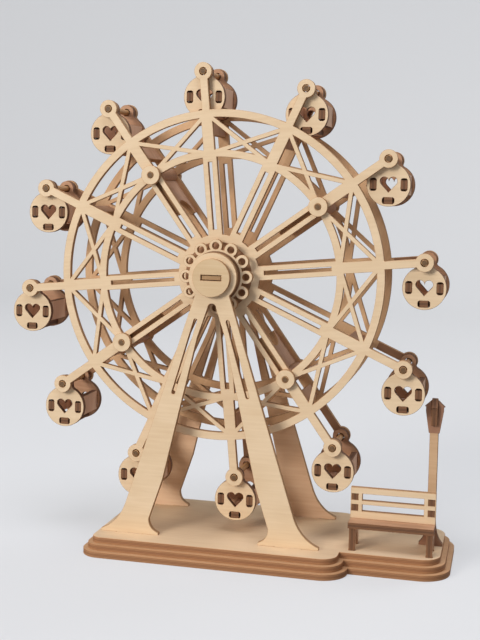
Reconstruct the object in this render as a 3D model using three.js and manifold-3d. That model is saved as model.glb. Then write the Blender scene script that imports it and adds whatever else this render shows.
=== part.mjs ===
// A desk-top ferris wheel, put together from laser-cut plywood sheet and round dowel.
// Millimetres, +X right, +Y to the rear, +Z up. The origin lies under the base, straight below the hub.

import * as THREE from 'three';
import { mergeVertices } from 'three/addons/utils/BufferGeometryUtils.js';
import Module from 'manifold-3d';

const wasm = await Module();
wasm.setup();

// Sheet, dowel and the clearances that the pieces keep
const PLY = 2;
const AXLE_RADIUS = 2;
const DOWEL_RADIUS = 1;
const SLOT_GAP = 0.1;
const TURN_GAP = 0.3;
const SIDE_GAP = 0.2;
const SWING_GAP = 0.8;
const CUT_OVERRUN = 1;
const FLAT_TOLERANCE = 0.01;

// Wheel
const GROUND_CLEARANCE = 4.1;
const SPOKES = 12;
const REST_TURN_DEGREES = 5.7;
const DISC_SPACING = 19;
const OUTER_RING_RADIUS = 55.6;
const OUTER_RING_WIDTH = 2.6;
const RING_SPACING = 13.4;
const INNER_RING_WIDTH = 2.4;
const HUB_PLATE_RADIUS = 14;
const SPOKE_WIDTH = 4.8;
const SPOKE_SLOT_WIDTH = 1.4;
const SPOKE_SLOT_MARGIN = 1.6;
const STRUT_WIDTH = 3.8;
const BRACE_WIDTH = 1.4;
const ARM_WIDTH = 2.7;
const ARM_REACH = 12.8;
const EYE_RADIUS = 3;
const DRUM_RADIUS = 8;

// Scalloped hub flange with its spacer and its thrust washer
const LOBE_CIRCLE_RADIUS = 10.3;
const LOBE_RADIUS = 2.2;
const LOBE_HOLE_RADIUS = 1.2;
const LOBE_SWEEP_DEGREES = 125;
const LOBE_TURN_DEGREES = -4.7;
const SPACER_RADIUS = 9;
const THRUST_WASHER_RADIUS = 5;

// Tie rods, one on every third spoke, and the planks that keep the two discs apart
const TIE_RODS = 4;
const TIE_WASHER_RADIUS = 3.2;
const TIE_SLEEVE_RADIUS = 2.7;
const DOWEL_STAND_OUT = 0.3;
const TIE_PLANK_LENGTH = 16;
const TIE_PLANK_ARCH_HEIGHT = 5;
const TIE_PLANK_LEG_WIDTH = 2.5;
const BRIDGE_LENGTH = 8.5;

// Gondolas
const CABIN_RADIUS = 7.1;
const CABIN_DROP = 8.3;
const CABIN_EAR_RADIUS = 2.7;
const CABIN_NECK_RADIUS = 1.5;
const CABIN_SIDE_GAP = 0.4;
const HEART_WIDTH = 5.6;
const HEART_HEIGHT = 5;
const CABIN_WALL_REACH = 5;
const CABIN_WALL_HEIGHT = 6.8;
const CABIN_FLOOR_DROP = 5.2;
const CABIN_FLOOR_WIDTH = 6;

// A-frame, its reaches from the middle, its drops from the hub and its heights from the base top
const HEAD_RADIUS = 8.2;
const NECK_ANGLE_DEGREES = 45;
const OPENING_DROP = 8.6;
const OPENING_TOP_WIDTH = 2.8;
const SHOULDER_REACH = 4.8;
const SHOULDER_DROP = 20;
const SHIN_REACH = 16;
const SHIN_HEIGHT = 19.3;
const INNER_KNEE_REACH = 20.6;
const INNER_KNEE_HEIGHT = 5.5;
const OUTER_KNEE_REACH = 28.9;
const OUTER_KNEE_HEIGHT = 10.3;
const FOOT_INNER_REACH = 17.2;
const FOOT_OUTER_REACH = 37.5;
const FOOT_HOLLOW = 2.4;
const TOE_HEIGHT = 0.8;
const LEG_SLIT_WIDTH = 1.2;
const LEG_SLIT_START_SHARE = 0.09;
const LEG_SLIT_END_SHARE = 0.43;
const FOOT_TENON_WIDTH = 9;
const CAP_RADIUS = 6.3;
const CAP_SLOT_WIDTH = 7;
const CAP_SLOT_HEIGHT = 1.9;

// Stepped base: the margins are the top layer's, round the feet on the main plate and the lamp on
// the station plate, and each layer below it stands out by one step
const BASE_LAYERS = 3;
const BASE_STEP = 1.6;
const BASE_LEFT_MARGIN = 0.9;
const BASE_RIGHT_MARGIN = 6.8;
const BASE_SIDE_MARGIN = 8.1;
const BASE_LEFT_CORNER_RADIUS = 3.5;
const BASE_RIGHT_CORNER_RADIUS = 5.5;
const STATION_END_MARGIN = 4;
const STATION_HALF_DEPTH = 18.8;
const STATION_CORNER_RADIUS = 6.5;

// Bench, as near to the wheel as the passing gondolas let it stand
const BENCH_SWEEP_GAP = 0.3;
const BENCH_SIDE_SPACING = 25;
const BENCH_FRONT_Y = -16;
const BENCH_DEPTH = 9.4;
const BENCH_LEG_WIDTH = 2;
const BENCH_ARCH_HEIGHT = 5;
const BENCH_SEAT_HEIGHT = 9.4;
const BENCH_SEAT_OVERHANG = 0.4;
const BENCH_BACK_HEIGHT = 19.7;
const BENCH_POST_DROP = 0.8;
const BENCH_RAIL_HEIGHT = 2;
const BENCH_MIDDLE_RAIL_HEIGHT = 1.3;
const BENCH_OPENING_HEIGHT = 2.3;
const BENCH_OPENINGS = 2;
const BENCH_STILE_WIDTH = 3.8;
const BENCH_TENON_HEIGHT = 1.9;

// Street lamp, its heights from the base top
const LAMP_SWEEP_GAP = 1;
const LAMP_Y = -1.5;
const LAMP_HEIGHT = 49.4;
const LAMP_POST_WIDTH = 2.8;
const LAMP_FOOT_WIDTH = 7.8;
const LAMP_FOOT_HEIGHT = 10;
const LAMP_FOOT_HOLLOW_SHARE = 0.3;
const LAMP_FOOT_LAP_HEIGHT = 2.4;
const LAMP_FOOT_CROSS_HEIGHT = 5.5;
const LAMP_TENON_WIDTH = 4;
const LANTERN_HEIGHT = 11.5;
const LANTERN_FOOT_WIDTH = 3.5;
const LANTERN_WIDTH = 5.8;
const LANTERN_EAVE_WIDTH = 6.6;
const LANTERN_ROOF_HEIGHT = 2.7;
const LANTERN_PEAK_WIDTH = 0.8;
const LANTERN_SHOULDER_DROP = 1.6;
const LANTERN_CROSS_START = 2.6;
const LANTERN_LAP_HEIGHT = 5.6;

// Facets round a full circle
const WHEEL_FACETS = 36;
const ROUND_FACETS = 24;
const SMALL_FACETS = 12;
const BORE_FACETS = 8;
const BEND_STEPS = 4;
const NECK_STEPS = 2;

const TURN = 2 * Math.PI;
const QUARTER = Math.PI / 2;
const SECTOR = TURN / SPOKES;

// Places that follow from the sizes above
const radians = (degrees) => (degrees * Math.PI) / 180;
const restTurn = radians(REST_TURN_DEGREES);
const baseTop = BASE_LAYERS * PLY;
const eyeCircle = OUTER_RING_RADIUS + ARM_REACH;
const innerRingRadius = OUTER_RING_RADIUS - RING_SPACING;
const tieCircle = innerRingRadius - INNER_RING_WIDTH / 2;
const hubHeight = baseTop + GROUND_CLEARANCE + CABIN_RADIUS + CABIN_DROP + eyeCircle;
const discInside = DISC_SPACING / 2;
const discFace = discInside + PLY;
const discCentre = (discInside + discFace) / 2;
const hubFace = discFace + 3 * PLY;
const frameCentre = hubFace + SIDE_GAP + PLY / 2;
const frameFace = frameCentre + PLY / 2;
const bridgeOuter = eyeCircle - CABIN_DROP - CABIN_RADIUS - SWING_GAP;
const footTenonX = (FOOT_INNER_REACH + FOOT_OUTER_REACH) / 2;
const cabinDepth = DISC_SPACING - 2 * CABIN_SIDE_GAP;
const lanternFoot = LAMP_HEIGHT - LANTERN_HEIGHT;
const eaveHeight = LAMP_HEIGHT - LANTERN_ROOF_HEIGHT;
const benchRear = BENCH_FRONT_Y + BENCH_DEPTH;
const benchBackRear = benchRear - BENCH_LEG_WIDTH;
const benchTop = baseTop + BENCH_BACK_HEIGHT;
const benchHalfLength = (BENCH_SIDE_SPACING + PLY) / 2 + BENCH_SEAT_OVERHANG;
const benchLegYs = [BENCH_FRONT_Y + BENCH_LEG_WIDTH / 2, benchRear - BENCH_LEG_WIDTH / 2];

// How far out from the middle the hanging gondolas pass, at a height and with a gap
function sweepReach(height, gap) {
  const sweep = eyeCircle + CABIN_RADIUS + gap;
  return Math.sqrt(sweep ** 2 - (hubHeight - CABIN_DROP - height) ** 2);
}

const benchX = sweepReach(benchTop, BENCH_SWEEP_GAP) + benchHalfLength;
const benchSideXs = [-1, 1].map((side) => benchX + (side * BENCH_SIDE_SPACING) / 2);
const lampX = sweepReach(baseTop + eaveHeight, LAMP_SWEEP_GAP) + LANTERN_EAVE_WIDTH / 2;
const baseLeftReach = FOOT_OUTER_REACH + BASE_LEFT_MARGIN;
const baseRightReach = FOOT_OUTER_REACH + BASE_RIGHT_MARGIN;
const baseHalfDepth = frameFace + BASE_SIDE_MARGIN;
const stationRightReach = lampX + STATION_END_MARGIN;

const plywood = new THREE.MeshStandardMaterial({ color: 0xe8c79a, roughness: 0.75, metalness: 0 });
const charredPlywood = new THREE.MeshStandardMaterial({ color: 0xa9774c, roughness: 0.8, metalness: 0 });
const dowelWood = new THREE.MeshStandardMaterial({ color: 0xc79a66, roughness: 0.7, metalness: 0 });

const ORIGIN = new THREE.Vector2();
const polar = (radius, angle) => new THREE.Vector2(radius * Math.cos(angle), radius * Math.sin(angle));
const point = (x, y) => new THREE.Vector2(x, y);

// Points on an arc, both ends included.
function arc(centre, radius, from, to, steps) {
  const points = [];
  for (let i = 0; i <= steps; i += 1) {
    points.push(polar(radius, from + ((to - from) * i) / steps).add(centre));
  }
  return points;
}

const circle = (centre, radius, facets) => arc(centre, radius, 0, TURN, facets).slice(0, facets);

// A rounded corner, a quarter turn that starts at the given angle.
const corner = (x, y, radius, from) => arc(point(x, y), radius, from, from + QUARTER, SMALL_FACETS / 3);

// A point given along a ray from the origin and sideways from it.
const alongRay = (angle, reach, side) => point(reach, side).rotateAround(ORIGIN, angle);

const bend = (from, control, to) => new THREE.QuadraticBezierCurve(from, control, to).getPoints(BEND_STEPS);

const rectangle = (left, right, bottom, top) => [
  point(left, bottom),
  point(right, bottom),
  point(right, top),
  point(left, top),
];

const mirrored = (points) => points.map((p) => point(-p.x, p.y)).reverse();

// A sheet lying in X and Y, half its thickness on each side of the plane.
function extruded(outline, thickness) {
  const sheet = new THREE.ExtrudeGeometry(new THREE.Shape(outline), { depth: thickness, bevelEnabled: false });
  return sheet.translate(0, 0, -thickness / 2);
}

// Stands a lying sheet up, so that its outline runs in X and Z, or in Y and Z.
const facingFront = (sheet) => sheet.rotateX(QUARTER);
const facingSide = (sheet) => sheet.rotateX(QUARTER).rotateZ(QUARTER);

function solidOf(geometry) {
  const bare = geometry.clone();
  bare.deleteAttribute('normal');
  bare.deleteAttribute('uv');
  const merged = mergeVertices(bare);
  return new wasm.Manifold(
    new wasm.Mesh({
      numProp: 3,
      vertProperties: merged.attributes.position.array,
      triVerts: new Uint32Array(merged.index.array),
    }),
  );
}

// A solid's mesh, without the points that a join or a cut leaves within flat faces.
function geometryOf(solid) {
  const { vertProperties, triVerts } = solid.asOriginal().simplify(FLAT_TOLERANCE).getMesh();
  const geometry = new THREE.BufferGeometry();
  geometry.setAttribute('position', new THREE.BufferAttribute(vertProperties, 3));
  geometry.setIndex(new THREE.BufferAttribute(triVerts, 1));
  geometry.computeVertexNormals();
  return geometry;
}

const joined = (...geometries) => geometryOf(geometries.map(solidOf).reduce((sum, next) => sum.add(next)));

function drilled(geometry, holes, thickness = PLY) {
  const cutters = holes.map((hole) => solidOf(extruded(hole, thickness + CUT_OVERRUN)));
  return geometryOf(cutters.reduce((rest, cutter) => rest.subtract(cutter), solidOf(geometry)));
}

// A sheet piece with its holes cut through.
function cutSheet(outline, holes = [], thickness = PLY) {
  return drilled(extruded(outline, thickness), holes, thickness);
}

function piece(name, geometry, material, x = 0, y = 0, z = 0) {
  const mesh = new THREE.Mesh(geometry, material);
  mesh.name = name;
  mesh.position.set(x, y, z);
  return mesh;
}

const numbered = (stem, index) => `${stem}_${String(index + 1).padStart(2, '0')}`;

// Outline of one base layer, stood out from the top layer by the given step: a deep main plate
// with rounded corners, and on its right a narrower station plate that meets it in a sharp corner.
function baseOutline(step) {
  const leftRadius = BASE_LEFT_CORNER_RADIUS;
  const rightRadius = BASE_RIGHT_CORNER_RADIUS;
  const stationRadius = STATION_CORNER_RADIUS;
  const stationX = stationRightReach - stationRadius;
  const stationY = STATION_HALF_DEPTH - stationRadius;
  const rear = [
    ...corner(stationX, stationY, stationRadius + step, 0),
    point(baseRightReach + step, STATION_HALF_DEPTH + step),
    ...corner(baseRightReach - rightRadius, baseHalfDepth - rightRadius, rightRadius + step, 0),
    ...corner(leftRadius - baseLeftReach, baseHalfDepth - leftRadius, leftRadius + step, QUARTER),
  ];
  const front = rear.map((p) => point(p.x, -p.y)).reverse();
  return [...rear, ...front];
}

// Slot in the top layer for a tenon of the given size.
function tenonSlot(x, y, width, depth) {
  const halfWidth = width / 2 + SLOT_GAP;
  const halfDepth = depth / 2 + SLOT_GAP;
  return rectangle(x - halfWidth, x + halfWidth, y - halfDepth, y + halfDepth);
}

function topLayerSlots() {
  const slots = [tenonSlot(lampX, LAMP_Y, PLY, LAMP_TENON_WIDTH)];
  for (const side of [-1, 1]) {
    for (const face of [-1, 1]) {
      slots.push(tenonSlot(side * footTenonX, face * frameCentre, FOOT_TENON_WIDTH, PLY));
    }
  }
  for (const x of benchSideXs) {
    for (const y of benchLegYs) {
      slots.push(tenonSlot(x, y, PLY, BENCH_LEG_WIDTH / 2));
    }
  }
  return slots;
}

function makeBase() {
  const base = new THREE.Group();
  const names = ['base_bottom_layer', 'base_middle_layer', 'base_top_layer'];
  names.forEach((name, layer) => {
    const step = (BASE_LAYERS - 1 - layer) * BASE_STEP;
    const holes = step === 0 ? topLayerSlots() : [];
    base.add(piece(name, cutSheet(baseOutline(step), holes), plywood, 0, 0, layer * PLY + PLY / 2));
  });
  return base;
}

// A long narrow slit with round ends.
function slit(start, end, width) {
  const slope = end.clone().sub(start).angle();
  return [
    ...arc(end, width / 2, slope - QUARTER, slope + QUARTER, SMALL_FACETS / 4),
    ...arc(start, width / 2, slope + QUARTER, slope + 3 * QUARTER, SMALL_FACETS / 4),
  ];
}

// One A-frame: a round head, two legs with a slit in each, and feet that flare to both sides.
function frameSheet() {
  const hub = point(0, hubHeight);
  const neckAngle = -radians(NECK_ANGLE_DEGREES);
  const neck = polar(HEAD_RADIUS, neckAngle).add(hub);
  const openingTop = point(0, hubHeight - OPENING_DROP);
  const openingCorner = point(0, openingTop.y - OPENING_TOP_WIDTH / 2);
  const innerKnee = point(INNER_KNEE_REACH, baseTop + INNER_KNEE_HEIGHT);
  const outerKnee = point(OUTER_KNEE_REACH, baseTop + OUTER_KNEE_HEIGHT);
  const heel = point(FOOT_INNER_REACH, baseTop + TOE_HEIGHT);
  const toe = point(FOOT_OUTER_REACH, baseTop + TOE_HEIGHT);
  const tenonHalf = FOOT_TENON_WIDTH / 2;
  const rightHalf = [
    ...arc(openingCorner, OPENING_TOP_WIDTH / 2, QUARTER, 0, SMALL_FACETS / 4).slice(1),
    point(SHOULDER_REACH, hubHeight - SHOULDER_DROP),
    point(SHIN_REACH, baseTop + SHIN_HEIGHT),
    ...bend(innerKnee, point(INNER_KNEE_REACH, heel.y + FOOT_HOLLOW / 2), heel),
    point(FOOT_INNER_REACH, baseTop),
    point(footTenonX - tenonHalf, baseTop),
    point(footTenonX - tenonHalf, baseTop - PLY),
    point(footTenonX + tenonHalf, baseTop - PLY),
    point(footTenonX + tenonHalf, baseTop),
    point(FOOT_OUTER_REACH, baseTop),
    ...bend(toe, point(OUTER_KNEE_REACH + FOOT_HOLLOW, toe.y + FOOT_HOLLOW), outerKnee),
    ...arc(hub, HEAD_RADIUS, neckAngle, QUARTER, ROUND_FACETS / 3),
  ];
  const outline = [openingTop, ...rightHalf, ...mirrored(rightHalf).slice(1)];

  const legTop = point((neck.x + OPENING_TOP_WIDTH / 2) / 2, (neck.y + openingCorner.y) / 2);
  const legFoot = outerKnee.clone().add(innerKnee).divideScalar(2);
  const slitStart = legTop.clone().lerp(legFoot, LEG_SLIT_START_SHARE);
  const slitEnd = legTop.clone().lerp(legFoot, LEG_SLIT_END_SHARE);
  const legSlit = slit(slitStart, slitEnd, LEG_SLIT_WIDTH);
  const bore = circle(hub, AXLE_RADIUS + SLOT_GAP, ROUND_FACETS);
  return cutSheet(outline, [bore, legSlit, mirrored(legSlit)]);
}

function hubCap() {
  const halfWidth = CAP_SLOT_WIDTH / 2;
  const halfHeight = CAP_SLOT_HEIGHT / 2;
  const slot = rectangle(-halfWidth, halfWidth, -halfHeight, halfHeight);
  return cutSheet(circle(ORIGIN, CAP_RADIUS, ROUND_FACETS), [slot]);
}

function makeStand() {
  const stand = new THREE.Group();
  for (const [end, side] of [['front', -1], ['rear', 1]]) {
    const capY = side * (frameFace + PLY / 2);
    stand.add(piece(`${end}_frame`, facingFront(frameSheet()), plywood, 0, side * frameCentre, 0));
    stand.add(piece(`${end}_cap`, facingFront(hubCap()), plywood, 0, capY, hubHeight));
  }
  const axle = new THREE.CylinderGeometry(AXLE_RADIUS, AXLE_RADIUS, 2 * frameFace, ROUND_FACETS);
  stand.add(piece('axle', axle, dowelWood, 0, 0, hubHeight));
  return stand;
}

// Outer outline of a wheel disc: the ring, and on each spoke an arm that ends in a round eye.
function wheelOutline() {
  const armFoot = Math.asin(ARM_WIDTH / 2 / OUTER_RING_RADIUS);
  const eyeNeck = Math.PI - Math.asin(ARM_WIDTH / 2 / EYE_RADIUS);
  const steps = WHEEL_FACETS / SPOKES;
  const points = [];
  for (let spoke = 0; spoke < SPOKES; spoke += 1) {
    const ray = spoke * SECTOR;
    points.push(...arc(polar(eyeCircle, ray), EYE_RADIUS, ray - eyeNeck, ray + eyeNeck, SMALL_FACETS / 2));
    points.push(...arc(ORIGIN, OUTER_RING_RADIUS, ray + armFoot, ray + SECTOR - armFoot, steps));
  }
  return points;
}

// Window between two neighbouring bars and two circles.
function windowBetween(ray, innerRadius, outerRadius, barWidth) {
  const inner = Math.asin(barWidth / 2 / innerRadius);
  const outer = Math.asin(barWidth / 2 / outerRadius);
  const steps = WHEEL_FACETS / SPOKES;
  return [
    ...arc(ORIGIN, outerRadius, ray + outer, ray + SECTOR - outer, steps),
    ...arc(ORIGIN, innerRadius, ray + SECTOR - inner, ray + inner, steps - 1),
  ];
}

// One thin bar of the lattice, from the outer ring at one spoke to the inner ring at its neighbour.
function brace(fromRay, toRay) {
  const from = polar(OUTER_RING_RADIUS - OUTER_RING_WIDTH / 2, fromRay);
  const to = polar(innerRingRadius - INNER_RING_WIDTH / 2, toRay);
  const across = to.clone().sub(from).setLength(BRACE_WIDTH / 2).rotateAround(ORIGIN, QUARTER);
  return cutSheet([
    from.clone().sub(across),
    to.clone().sub(across),
    to.clone().add(across),
    from.clone().add(across),
  ]);
}

const isTied = (spoke) => spoke % (SPOKES / TIE_RODS) === 1;

function discSheet() {
  const ringInside = innerRingRadius - INNER_RING_WIDTH;
  const slotStart = HUB_PLATE_RADIUS + SPOKE_SLOT_MARGIN;
  const slotEnd = ringInside - SPOKE_SLOT_MARGIN;
  const halfSlot = SPOKE_SLOT_WIDTH / 2;
  const windows = [];
  const braces = [];
  const bores = [circle(ORIGIN, AXLE_RADIUS + TURN_GAP, ROUND_FACETS)];
  for (let spoke = 0; spoke < SPOKES; spoke += 1) {
    const ray = spoke * SECTOR;
    windows.push(windowBetween(ray, HUB_PLATE_RADIUS, ringInside, SPOKE_WIDTH));
    windows.push(windowBetween(ray, innerRingRadius, OUTER_RING_RADIUS - OUTER_RING_WIDTH, STRUT_WIDTH));
    windows.push(
      rectangle(slotStart, slotEnd, -halfSlot, halfSlot).map((p) => alongRay(ray, p.x, p.y)),
    );
    braces.push(brace(ray, ray + SECTOR));
    braces.push(brace(ray + SECTOR, ray));
    bores.push(circle(polar(eyeCircle, ray), DOWEL_RADIUS + TURN_GAP, BORE_FACETS));
    if (isTied(spoke)) {
      bores.push(circle(polar(tieCircle, ray), DOWEL_RADIUS + TURN_GAP, BORE_FACETS));
    }
  }
  return drilled(joined(cutSheet(wheelOutline(), windows), ...braces), bores);
}

// A spacer, the sheet with twelve round lobes and a hole in each, and a thrust washer, glued together.
function hubFlange(side) {
  const bore = circle(ORIGIN, AXLE_RADIUS + TURN_GAP, ROUND_FACETS);
  const sweep = radians(LOBE_SWEEP_DEGREES);
  const outline = [];
  const holes = [bore];
  for (let lobe = 0; lobe < SPOKES; lobe += 1) {
    const ray = lobe * SECTOR + radians(LOBE_TURN_DEGREES);
    const centre = polar(LOBE_CIRCLE_RADIUS, ray);
    outline.push(...arc(centre, LOBE_RADIUS, ray - sweep, ray + sweep, SMALL_FACETS / 3));
    holes.push(circle(centre, LOBE_HOLE_RADIUS, SMALL_FACETS / 2));
  }
  const spacer = cutSheet(circle(ORIGIN, SPACER_RADIUS, ROUND_FACETS), [bore]);
  const washer = cutSheet(circle(ORIGIN, THRUST_WASHER_RADIUS, ROUND_FACETS), [bore]);
  spacer.translate(0, 0, side * PLY);
  washer.translate(0, 0, -side * PLY);
  return facingFront(joined(spacer, cutSheet(outline, holes), washer));
}

// Half a circle of the given radius flattened to the given rise, cut from the edge of a plank.
function archedEdge(radius, rise, edge) {
  return arc(ORIGIN, radius, QUARTER, -QUARTER, BORE_FACETS).map((p) => point(edge + (p.x / radius) * rise, p.y));
}

// A dowel with its sleeve between the discs, a washer outside each, and a plank that runs to the hub.
function tieRod() {
  const end = discFace + PLY + DOWEL_STAND_OUT;
  const half = [
    point(TIE_SLEEVE_RADIUS, discInside),
    point(DOWEL_RADIUS, discInside),
    point(DOWEL_RADIUS, discFace),
    point(TIE_WASHER_RADIUS, discFace),
    point(TIE_WASHER_RADIUS, discFace + PLY),
    point(DOWEL_RADIUS, discFace + PLY),
    point(DOWEL_RADIUS, end),
    point(0, end),
  ];
  const lower = half.map((p) => point(p.x, -p.y)).reverse();
  const rod = new THREE.LatheGeometry([...lower, ...half], BORE_FACETS);
  const plank = cutSheet([
    point(0, discInside),
    point(-TIE_PLANK_LENGTH, discInside),
    ...archedEdge(discInside - TIE_PLANK_LEG_WIDTH, TIE_PLANK_ARCH_HEIGHT, -TIE_PLANK_LENGTH),
    point(-TIE_PLANK_LENGTH, -discInside),
    point(0, -discInside),
  ]);
  return joined(rod, plank);
}

function makeWheel() {
  const wheel = new THREE.Group();
  wheel.position.z = hubHeight;
  wheel.rotation.y = -restTurn;
  for (const [end, side] of [['front', -1], ['rear', 1]]) {
    const flangeY = side * (discFace + PLY + PLY / 2);
    wheel.add(piece(`wheel_${end}_disc`, facingFront(discSheet()), plywood, 0, side * discCentre, 0));
    wheel.add(piece(`${end}_hub_flange`, hubFlange(side), plywood, 0, flangeY, 0));
  }
  const bore = circle(ORIGIN, AXLE_RADIUS + TURN_GAP, ROUND_FACETS);
  const drum = cutSheet(circle(ORIGIN, DRUM_RADIUS, ROUND_FACETS), [bore], DISC_SPACING);
  wheel.add(piece('hub_drum', facingFront(drum), charredPlywood));

  for (let spoke = 0; spoke < SPOKES; spoke += 1) {
    const spokeGroup = new THREE.Group();
    const bridge = cutSheet(
      rectangle(bridgeOuter - BRIDGE_LENGTH, bridgeOuter, -discInside, discInside),
    );
    spokeGroup.rotation.y = -spoke * SECTOR;
    spokeGroup.add(piece(numbered('spoke_bridge', spoke), bridge, charredPlywood));
    if (isTied(spoke)) {
      const name = `tie_rod_${(spoke * TIE_RODS + SPOKES - TIE_RODS) / SPOKES}`;
      spokeGroup.add(piece(name, tieRod(), dowelWood, tieCircle, 0, 0));
    }
    wheel.add(spokeGroup);
  }
  return wheel;
}

// Heart cut-out about its own middle: two round lobes, and a tip that their tangents meet in.
function heart() {
  const radius = HEART_WIDTH / 4;
  const centre = point(radius, HEART_HEIGHT / 2 - radius);
  const tip = point(0, -HEART_HEIGHT / 2);
  const toTip = tip.clone().sub(centre);
  const leave = toTip.angle() + Math.acos(radius / toTip.length()) - TURN;
  const right = arc(centre, radius, Math.PI, leave, SMALL_FACETS / 3);
  return [...right, tip, ...mirrored(right).slice(0, -1)];
}

// Angle next to the first side of a triangle, from its three sides.
const triangleAngle = (side, next, across) => Math.acos((side ** 2 + next ** 2 - across ** 2) / (2 * side * next));

// End sheet of a gondola about its pivot: a round body, and a small round ear that a hollow neck on
// each side joins to it. The pivot, the body's middle and the neck's middle make a triangle.
function cabinEnd() {
  const body = point(0, -CABIN_DROP);
  const earToNeck = CABIN_EAR_RADIUS + CABIN_NECK_RADIUS;
  const bodyToNeck = CABIN_RADIUS + CABIN_NECK_RADIUS;
  const earAngle = triangleAngle(CABIN_DROP, earToNeck, bodyToNeck);
  const bodyAngle = triangleAngle(CABIN_DROP, bodyToNeck, earToNeck);
  const neckCentre = polar(earToNeck, earAngle - QUARTER);
  const neck = arc(neckCentre, CABIN_NECK_RADIUS, 3 * QUARTER - bodyAngle, QUARTER + earAngle, NECK_STEPS);
  const outline = [
    ...arc(ORIGIN, CABIN_EAR_RADIUS, earAngle - QUARTER, 3 * QUARTER - earAngle, SMALL_FACETS / 3).slice(1),
    ...mirrored(neck).slice(1),
    ...arc(body, CABIN_RADIUS, QUARTER + bodyAngle, QUARTER - bodyAngle + TURN, SMALL_FACETS).slice(1),
    ...neck.slice(1),
  ];
  const pivot = circle(ORIGIN, DOWEL_RADIUS + TURN_GAP, BORE_FACETS);
  return cutSheet(outline, [pivot, heart().map((p) => p.add(body))]);
}

function cabinBody() {
  const endCentre = (cabinDepth - PLY) / 2;
  const wallLength = cabinDepth - PLY;
  const wall = new THREE.BoxGeometry(PLY, wallLength, CABIN_WALL_HEIGHT);
  const floor = new THREE.BoxGeometry(CABIN_FLOOR_WIDTH, wallLength, PLY);
  return joined(
    facingFront(cabinEnd()).translate(0, -endCentre, 0),
    facingFront(cabinEnd()).translate(0, endCentre, 0),
    wall.clone().translate(-CABIN_WALL_REACH, 0, -CABIN_DROP),
    wall.clone().translate(CABIN_WALL_REACH, 0, -CABIN_DROP),
    floor.translate(0, 0, -CABIN_DROP - CABIN_FLOOR_DROP),
  );
}

function makeCabins() {
  const cabins = new THREE.Group();
  cabins.position.z = hubHeight;
  const pinLength = 2 * (discFace + DOWEL_STAND_OUT);
  for (let index = 0; index < SPOKES; index += 1) {
    const eye = polar(eyeCircle, index * SECTOR + restTurn);
    const pin = new THREE.CylinderGeometry(DOWEL_RADIUS, DOWEL_RADIUS, pinLength, BORE_FACETS);
    cabins.add(piece(numbered('cabin', index), cabinBody(), plywood, eye.x, 0, eye.y));
    cabins.add(piece(numbered('cabin_pin', index), pin, dowelWood, eye.x, 0, eye.y));
  }
  return cabins;
}

// Middle height of an opening in the bench back, counted down from the top.
function benchOpeningHeight(opening) {
  const pitch = BENCH_OPENING_HEIGHT + BENCH_MIDDLE_RAIL_HEIGHT;
  return benchTop - BENCH_RAIL_HEIGHT - BENCH_OPENING_HEIGHT / 2 - opening * pitch;
}

// Side of the bench in Y and Z: a front leg, an arch, and a rear leg that runs up as the back post,
// with a tenon forward through the back for each opening in it.
function benchSide() {
  const front = BENCH_FRONT_Y;
  const leg = BENCH_LEG_WIDTH;
  const seatUnder = baseTop + BENCH_SEAT_HEIGHT - PLY;
  const footTenon = (y) => [
    point(y - leg / 4, baseTop),
    point(y - leg / 4, baseTop - PLY),
    point(y + leg / 4, baseTop - PLY),
    point(y + leg / 4, baseTop),
  ];
  const backTenons = [];
  for (let opening = 0; opening < BENCH_OPENINGS; opening += 1) {
    const high = benchOpeningHeight(opening) + BENCH_TENON_HEIGHT / 2;
    const low = high - BENCH_TENON_HEIGHT;
    backTenons.push(
      point(benchBackRear, high),
      point(benchBackRear - PLY, high),
      point(benchBackRear - PLY, low),
      point(benchBackRear, low),
    );
  }
  const archTop = point((front + benchRear) / 2, baseTop + 2 * BENCH_ARCH_HEIGHT);
  return cutSheet([
    point(front, baseTop),
    ...footTenon(benchLegYs[0]),
    ...bend(point(front + leg, baseTop), archTop, point(benchRear - leg, baseTop)),
    ...footTenon(benchLegYs[1]),
    point(benchRear, baseTop),
    point(benchRear, benchTop - BENCH_POST_DROP),
    point(benchBackRear, benchTop - BENCH_POST_DROP),
    ...backTenons,
    point(benchBackRear, seatUnder),
    point(front, seatUnder),
  ]);
}

function benchBack() {
  const halfOpening = benchHalfLength - BENCH_STILE_WIDTH;
  const halfTenon = PLY / 2 + SLOT_GAP;
  const holes = [];
  for (let opening = 0; opening < BENCH_OPENINGS; opening += 1) {
    const middle = benchOpeningHeight(opening);
    const halfHeight = BENCH_OPENING_HEIGHT / 2;
    const halfHole = BENCH_TENON_HEIGHT / 2 + SLOT_GAP;
    holes.push(rectangle(-halfOpening, halfOpening, middle - halfHeight, middle + halfHeight));
    for (const side of [-1, 1]) {
      const x = (side * BENCH_SIDE_SPACING) / 2;
      holes.push(rectangle(x - halfTenon, x + halfTenon, middle - halfHole, middle + halfHole));
    }
  }
  return cutSheet(rectangle(-benchHalfLength, benchHalfLength, baseTop + BENCH_SEAT_HEIGHT, benchTop), holes);
}

function makeBench() {
  const bench = new THREE.Group();
  const seatFront = BENCH_FRONT_Y - BENCH_SEAT_OVERHANG;
  const seat = cutSheet(rectangle(-benchHalfLength, benchHalfLength, seatFront, benchBackRear));
  const seatZ = baseTop + BENCH_SEAT_HEIGHT - PLY / 2;
  const backY = benchBackRear - PLY / 2;
  bench.add(piece('bench_seat', seat, plywood, benchX, 0, seatZ));
  bench.add(piece('bench_back', facingFront(benchBack()), plywood, benchX, backY, 0));
  bench.add(piece('bench_left_side', facingSide(benchSide()), plywood, benchSideXs[0], 0, 0));
  bench.add(piece('bench_right_side', facingSide(benchSide()), plywood, benchSideXs[1], 0, 0));
  return bench;
}

const lapHalf = PLY / 2 + SLOT_GAP;

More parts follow.
